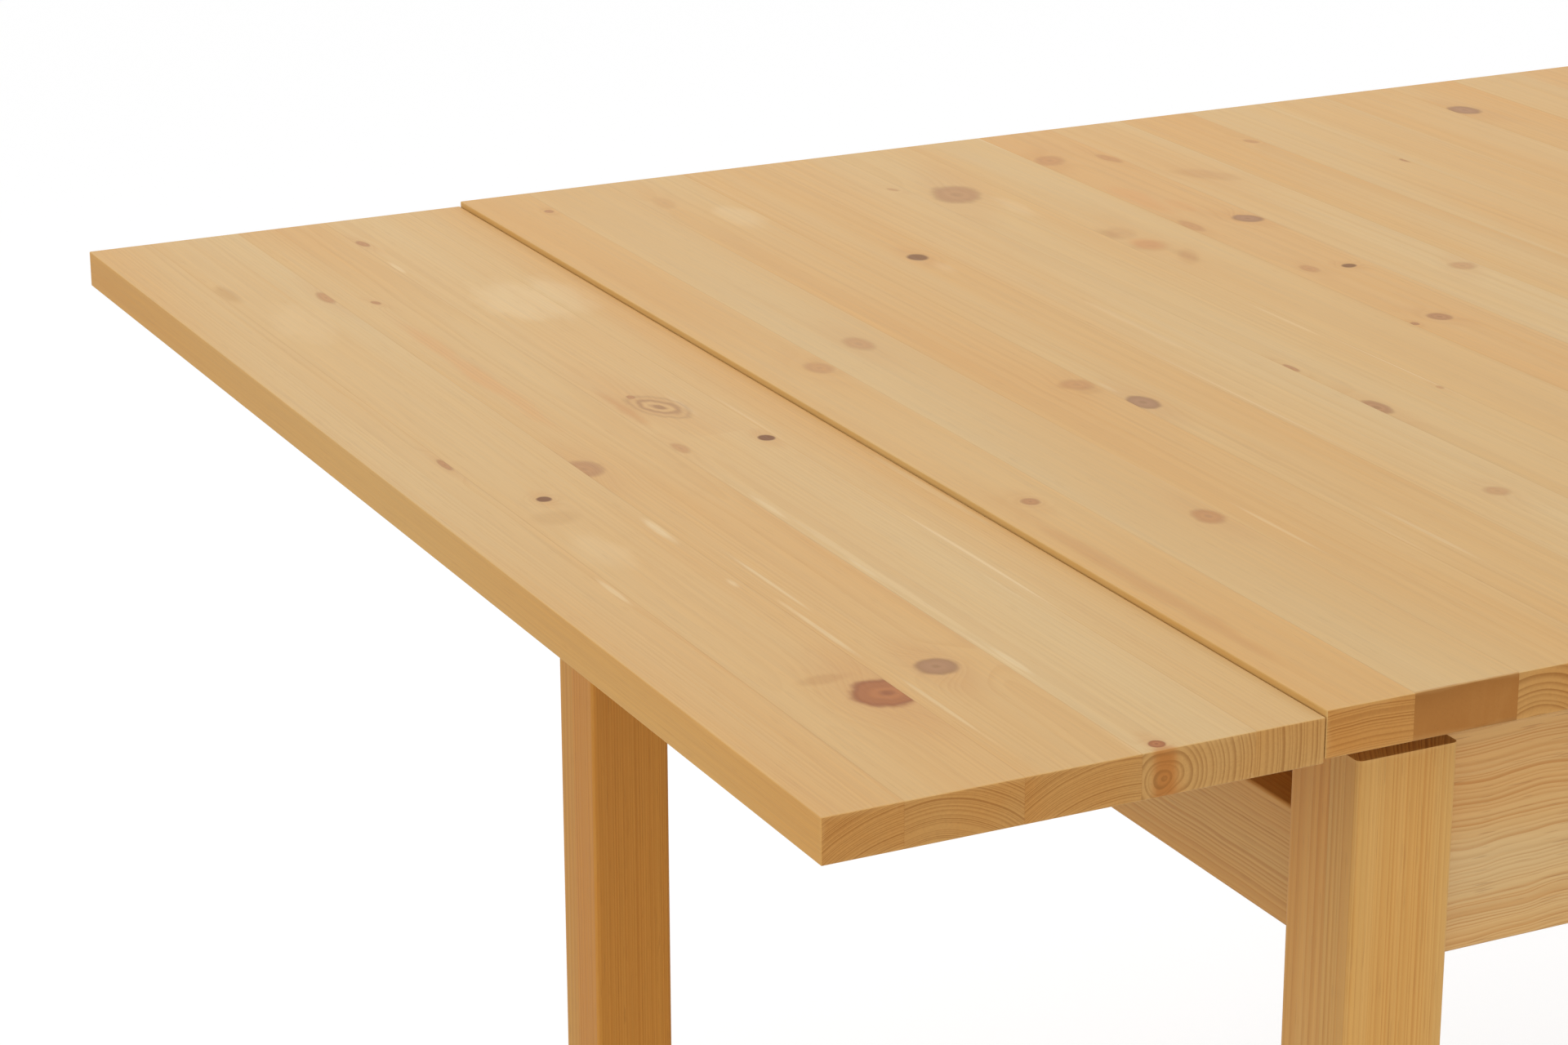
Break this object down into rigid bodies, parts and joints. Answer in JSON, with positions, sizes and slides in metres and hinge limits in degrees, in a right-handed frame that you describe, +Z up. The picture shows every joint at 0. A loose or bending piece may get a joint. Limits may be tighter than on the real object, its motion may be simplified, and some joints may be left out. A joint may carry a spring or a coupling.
{
  "type": "extending dining table",
  "caption": "Solid pine dining table with draw leaves that slide on tapered bearers under a loose main top.",
  "frame": {"origin": "on the floor, in the middle of the outline that the table covers at rest, left leaf drawn out", "axes": "+X along the length from the drawn leaf to the stored one, +Y across the width to the back, +Z up"},
  "size_m": [1.398, 0.8, 0.74],
  "materials": {
    "pine_board": "edge-glued solid pine, honey-coloured clear lacquer, satin",
    "pine_frame": "solid pine, honey-coloured clear lacquer, satin",
    "beech_dowel": "turned beech, raw",
    "felt": "thin green felt",
    "zinc_steel": "bright zinc",
    "yellow_zinc_screw": "yellow zinc",
    "glide_plastic": "brown nylon"
  },
  "bodies": {
    "frame": {"apron_dowels": "beech_dowel", "bolt_nuts": "zinc_steel", "bolt_washers": "zinc_steel", "centre_board": "pine_frame", "centre_board_screws": "yellow_zinc_screw", "centre_rail": "pine_frame", "corner_block_left_back": "pine_frame", "corner_block_left_front": "pine_frame", "corner_block_right_back": "pine_frame", "corner_block_right_front": "pine_frame", "corner_block_screws": "yellow_zinc_screw", "end_apron_left": "pine_frame", "end_apron_right": "pine_frame", "felt_strips": "felt", "foot_glide_left_back": "glide_plastic", "foot_glide_left_front": "glide_plastic", "foot_glide_right_back": "glide_plastic", "foot_glide_right_front": "glide_plastic", "hanger_bolts": "zinc_steel", "left_cross_rail": "pine_frame", "left_end_guide_screws": "yellow_zinc_screw", "left_end_guides": "pine_frame", "left_guide_strip_screws": "yellow_zinc_screw", "left_guide_strips": "pine_frame", "leg_left_back": "pine_frame", "leg_left_front": "pine_frame", "leg_right_back": "pine_frame", "leg_right_front": "pine_frame", "rail_dowels": "beech_dowel", "right_cross_rail": "pine_frame", "right_end_guide_screws": "yellow_zinc_screw", "right_end_guides": "pine_frame", "right_guide_strip_screws": "yellow_zinc_screw", "right_guide_strips": "pine_frame", "side_apron_back": "pine_frame", "side_apron_front": "pine_frame"},
    "left_leaf": {"left_bearer_back": "pine_frame", "left_bearer_front": "pine_frame", "left_leaf": "pine_board", "left_leaf_screws": "yellow_zinc_screw", "left_stop_blocks": "pine_frame", "left_stop_screws": "yellow_zinc_screw"},
    "main_top": {"locating_pegs": "beech_dowel", "main_top": "pine_board"},
    "right_leaf": {"right_bearer_back": "pine_frame", "right_bearer_front": "pine_frame", "right_leaf": "pine_board", "right_leaf_screws": "yellow_zinc_screw", "right_stop_blocks": "pine_frame", "right_stop_screws": "yellow_zinc_screw"}
  },
  "joints": [
    {"name": "right_leaf_draw", "type": "slide", "parent": "frame", "child": "right_leaf", "axis": [0.9966, 0, 0.0826], "range_m": [0, 0.21473]},
    {"name": "main_top_ride", "type": "slide", "parent": "frame", "child": "main_top", "axis": [0, 0, 1], "range_m": [0, 0.018]},
    {"name": "left_leaf_draw", "type": "slide", "parent": "frame", "child": "left_leaf", "axis": [-0.9966, 0, 0.0826], "range_m": [0, 0.01204]}
  ],
  "couplings": [
    {"joint": "main_top_ride", "follows": "right_leaf_draw", "ratio": 0.082637}
  ]
}
